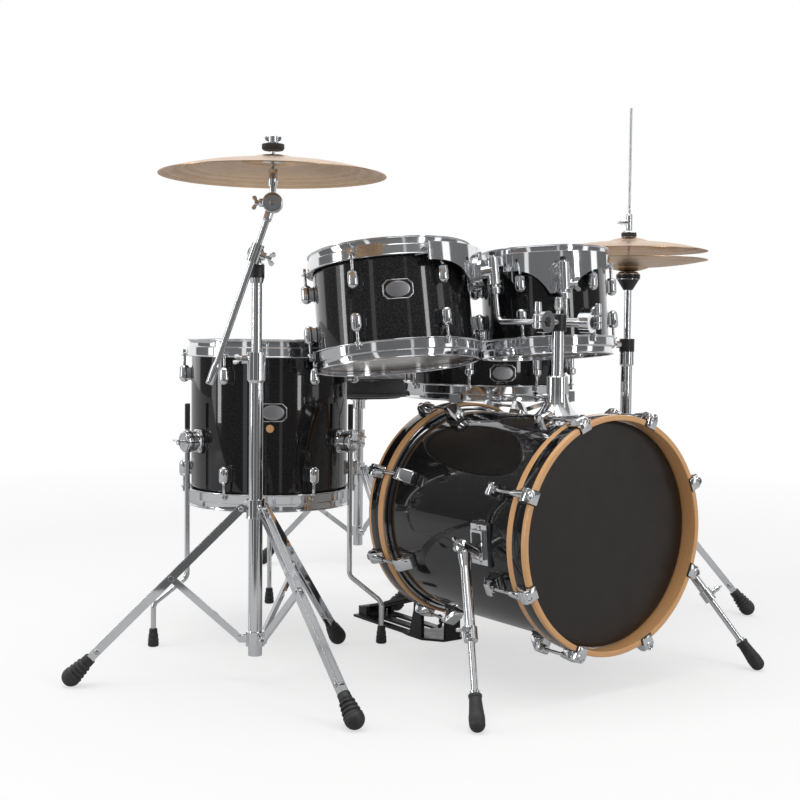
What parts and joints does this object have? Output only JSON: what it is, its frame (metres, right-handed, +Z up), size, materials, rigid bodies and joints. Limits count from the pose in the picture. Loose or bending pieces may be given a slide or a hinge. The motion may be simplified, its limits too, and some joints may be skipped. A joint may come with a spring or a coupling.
{
  "type": "acoustic drum kit",
  "caption": "Acoustic drum kit: spurred bass drum with tom holder, toms, floor tom, snare, boom cymbal stand, hi-hat, pedals and throne, with folding stands and working pedals.",
  "frame": {"origin": "on the floor, under the middle of the kit's plan extents", "axes": "+Z up, +Y from the bass drum's front head towards the player, +X towards the hi-hat"},
  "size_m": [1.5362, 1.5144, 1.157],
  "materials": {
    "lacquer_black": "gloss black lacquer",
    "hoop_wood": "clear-lacquered maple",
    "chrome": "polished chrome plate",
    "bronze": "lathed bronze",
    "rubber_black": "matte black rubber",
    "film_dark": "matte dark resonant film",
    "film_coated": "coated white film",
    "seat_cover": "black vinyl"
  },
  "bodies": {
    "kit": {"bass_shell": "lacquer_black", "bass_hoops": "hoop_wood", "bass_hoop_trim": "rubber_black", "bass_heads": "film_dark", "bass_lugs": "chrome", "bass_claws": "chrome", "spur_brackets": "chrome", "tom_mount_base": "chrome", "floor_tom_shell": "lacquer_black", "floor_tom_rims": "chrome", "floor_tom_heads": "film_coated", "floor_tom_lugs": "chrome", "stand_base": "chrome", "hihat_stand": "chrome", "hihat_bottom_cymbal": "bronze", "snare_stand": "chrome", "pedal_frame": "chrome", "throne_base": "chrome"},
    "spur_left": {"spur_left_tube": "chrome"},
    "spur_right": {"spur_right_tube": "chrome"},
    "spur_left_foot": {"spur_left_rod": "chrome"},
    "spur_right_foot": {"spur_right_rod": "chrome"},
    "tom_holder": {"tom_post": "chrome"},
    "big_tom_arm": {"big_tom_rod": "chrome"},
    "small_tom_arm": {"small_tom_rod": "chrome"},
    "big_tom": {"big_tom_shell": "lacquer_black", "big_tom_rims": "chrome", "big_tom_heads": "film_coated", "big_tom_lugs": "chrome", "big_tom_mount": "chrome"},
    "small_tom": {"small_tom_shell": "lacquer_black", "small_tom_rims": "chrome", "small_tom_heads": "film_coated", "small_tom_lugs": "chrome", "small_tom_mount": "chrome"},
    "floor_leg_1": {"floor_tom_leg_1": "chrome"},
    "floor_leg_2": {"floor_tom_leg_2": "chrome"},
    "floor_leg_3": {"floor_tom_leg_3": "chrome"},
    "crash_tube": {"stand_tube": "chrome"},
    "boom_clamp": {"boom_clamp": "chrome"},
    "boom": {"boom_arm": "chrome"},
    "crash": {"crash_cymbal": "bronze"},
    "stand_collar": {"stand_collar": "chrome"},
    "stand_leg_1": {"stand_leg_1": "chrome"},
    "stand_leg_2": {"stand_leg_2": "chrome"},
    "stand_leg_3": {"stand_leg_3": "chrome"},
    "stand_brace_1": {"stand_brace_1": "chrome"},
    "stand_brace_2": {"stand_brace_2": "chrome"},
    "stand_brace_3": {"stand_brace_3": "chrome"},
    "hihat_rod": {"hihat_pull_rod": "chrome", "hihat_top_cymbal": "bronze"},
    "hihat_board": {"hihat_footboard": "chrome"},
    "snare": {"snare_basket": "chrome", "snare_shell": "lacquer_black", "snare_rims": "chrome", "snare_heads": "film_coated", "snare_lugs": "chrome"},
    "pedal_board": {"pedal_footboard": "chrome"},
    "beater": {"pedal_beater": "chrome"},
    "seat": {"throne_seat": "seat_cover"}
  },
  "joints": [
    {"name": "spur_left_fold", "type": "hinge", "parent": "kit", "child": "spur_left", "pos_m": [-0.20853, -0.5752, 0.26605], "axis": [0.9267, 0, -0.3757], "range_deg": [0, 75]},
    {"name": "spur_left_extend", "type": "slide", "parent": "spur_left", "child": "spur_left_foot", "axis": [-0.3195, -0.5263, -0.788], "range_m": [0, 0.08]},
    {"name": "spur_right_fold", "type": "hinge", "parent": "kit", "child": "spur_right", "pos_m": [0.27628, -0.5752, 0.26605], "axis": [0.9267, 0, 0.3757], "range_deg": [0, 75]},
    {"name": "spur_right_extend", "type": "slide", "parent": "spur_right", "child": "spur_right_foot", "axis": [0.3195, -0.5263, -0.788], "range_m": [0, 0.08]},
    {"name": "tom_post_height", "type": "slide", "parent": "kit", "child": "tom_holder", "axis": [0, 0, 1], "range_m": [0, 0.04]},
    {"name": "big_tom_tilt", "type": "hinge", "parent": "tom_holder", "child": "big_tom_arm", "pos_m": [-0.02063, -0.56404, 0.663], "axis": [0.9858, 0.1677, 0], "range_deg": [-3, 8]},
    {"name": "big_tom_swivel", "type": "hinge", "parent": "big_tom_arm", "child": "big_tom", "pos_m": [-0.03888, -0.4416, 0.75876], "axis": [0, 0.1564, 0.9877], "range_deg": [-2, 15]},
    {"name": "small_tom_tilt", "type": "hinge", "parent": "tom_holder", "child": "small_tom_arm", "pos_m": [0.08837, -0.56404, 0.663], "axis": [0.9393, 0.3431, 0], "range_deg": [-5, 8]},
    {"name": "small_tom_swivel", "type": "hinge", "parent": "small_tom_arm", "child": "small_tom", "pos_m": [0.07337, -0.51523, 0.75148], "axis": [0, 0.0872, 0.9962], "range_deg": [-15, 2]},
    {"name": "floor_leg_1_extend", "type": "slide", "parent": "kit", "child": "floor_leg_1", "axis": [0, 0, -1], "range_m": [0, 0.05]},
    {"name": "floor_leg_2_extend", "type": "slide", "parent": "kit", "child": "floor_leg_2", "axis": [0, 0, -1], "range_m": [0, 0.05]},
    {"name": "floor_leg_3_extend", "type": "slide", "parent": "kit", "child": "floor_leg_3", "axis": [0, 0, -1], "range_m": [0, 0.05]},
    {"name": "stand_height", "type": "slide", "parent": "kit", "child": "crash_tube", "axis": [0, 0, 1], "range_m": [0, 0.25]},
    {"name": "boom_tilt", "type": "hinge", "parent": "crash_tube", "child": "boom_clamp", "pos_m": [-0.48223, -0.31537, 0.779], "axis": [-0.5807, -0.8141, 0], "range_deg": [-4, 35]},
    {"name": "boom_extend", "type": "slide", "parent": "boom_clamp", "child": "boom", "axis": [0.265, -0.1891, 0.9455], "range_m": [0, 0.1]},
    {"name": "crash_rock", "type": "hinge", "parent": "boom", "child": "crash", "pos_m": [-0.45731, -0.33314, 0.951], "axis": [0.8141, -0.5807, 0], "range_deg": [-6, 6]},
    {"name": "collar_lift", "type": "slide", "parent": "kit", "child": "stand_collar", "axis": [0, 0, 1], "range_m": [0, 0.09]},
    {"name": "stand_leg_1_fold", "type": "hinge", "parent": "stand_collar", "child": "stand_leg_1", "pos_m": [-0.44461, -0.2812, 0.32], "axis": [-0.5, 0.866, 0], "range_deg": [0, 27.11]},
    {"name": "stand_brace_1_fold", "type": "hinge", "parent": "kit", "child": "stand_brace_1", "pos_m": [-0.44461, -0.2812, 0.083], "axis": [0.5, -0.866, 0], "range_deg": [0, 29.36]},
    {"name": "stand_leg_2_fold", "type": "hinge", "parent": "stand_collar", "child": "stand_leg_2", "pos_m": [-0.48964, -0.2812, 0.32], "axis": [-0.5, -0.866, 0], "range_deg": [0, 27.11]},
    {"name": "stand_brace_2_fold", "type": "hinge", "parent": "kit", "child": "stand_brace_2", "pos_m": [-0.48964, -0.2812, 0.083], "axis": [0.5, 0.866, 0], "range_deg": [0, 29.36]},
    {"name": "stand_leg_3_fold", "type": "hinge", "parent": "stand_collar", "child": "stand_leg_3", "pos_m": [-0.46713, -0.32021, 0.32], "axis": [1, 0, 0], "range_deg": [0, 27.11]},
    {"name": "stand_brace_3_fold", "type": "hinge", "parent": "kit", "child": "stand_brace_3", "pos_m": [-0.46713, -0.32021, 0.083], "axis": [-1, 0, 0], "range_deg": [0, 29.36]},
    {"name": "hihat_pull", "type": "slide", "parent": "kit", "child": "hihat_rod", "axis": [0, 0, -1], "range_m": [0, 0.018], "stiffness_N_per_m": 450, "springref_m": -0.09},
    {"name": "hihat_footboard", "type": "hinge", "parent": "kit", "child": "hihat_board", "pos_m": [0.3624, -0.06451, 0.02], "axis": [0.6691, 0.7431, 0], "range_deg": [0, 4.26]},
    {"name": "beater_swing", "type": "hinge", "parent": "kit", "child": "beater", "pos_m": [0.03387, -0.18221, 0.215], "axis": [1, 0, 0], "range_deg": [0, 45.21], "stiffness_Nm_per_rad": 0.6, "springref_deg": -68.75},
    {"name": "pedal_footboard", "type": "hinge", "parent": "kit", "child": "pedal_board", "pos_m": [0.03387, 0.03678, 0.02], "axis": [1, 0, 0], "range_deg": [0, 9.02]},
    {"name": "snare_tilt", "type": "hinge", "parent": "kit", "child": "snare", "pos_m": [0.27887, -0.0412, 0.42], "axis": [-1, 0, 0], "range_deg": [0, 12]},
    {"name": "seat_turn", "type": "hinge", "parent": "kit", "child": "seat", "pos_m": [0.33387, 0.5718, 0.467], "axis": [0, 0, 1], "continuous": true}
  ],
  "couplings": [
    {"joint": "stand_leg_1_fold", "follows": "collar_lift", "rad_per_m": 5.2548},
    {"joint": "stand_brace_1_fold", "follows": "collar_lift", "rad_per_m": 5.6916},
    {"joint": "stand_leg_2_fold", "follows": "collar_lift", "rad_per_m": 5.2548},
    {"joint": "stand_brace_2_fold", "follows": "collar_lift", "rad_per_m": 5.6916},
    {"joint": "stand_leg_3_fold", "follows": "collar_lift", "rad_per_m": 5.2548},
    {"joint": "stand_brace_3_fold", "follows": "collar_lift", "rad_per_m": 5.6916},
    {"joint": "hihat_footboard", "follows": "hihat_pull", "rad_per_m": 4.1152},
    {"joint": "pedal_footboard", "follows": "beater_swing", "ratio": 0.19906}
  ]
}
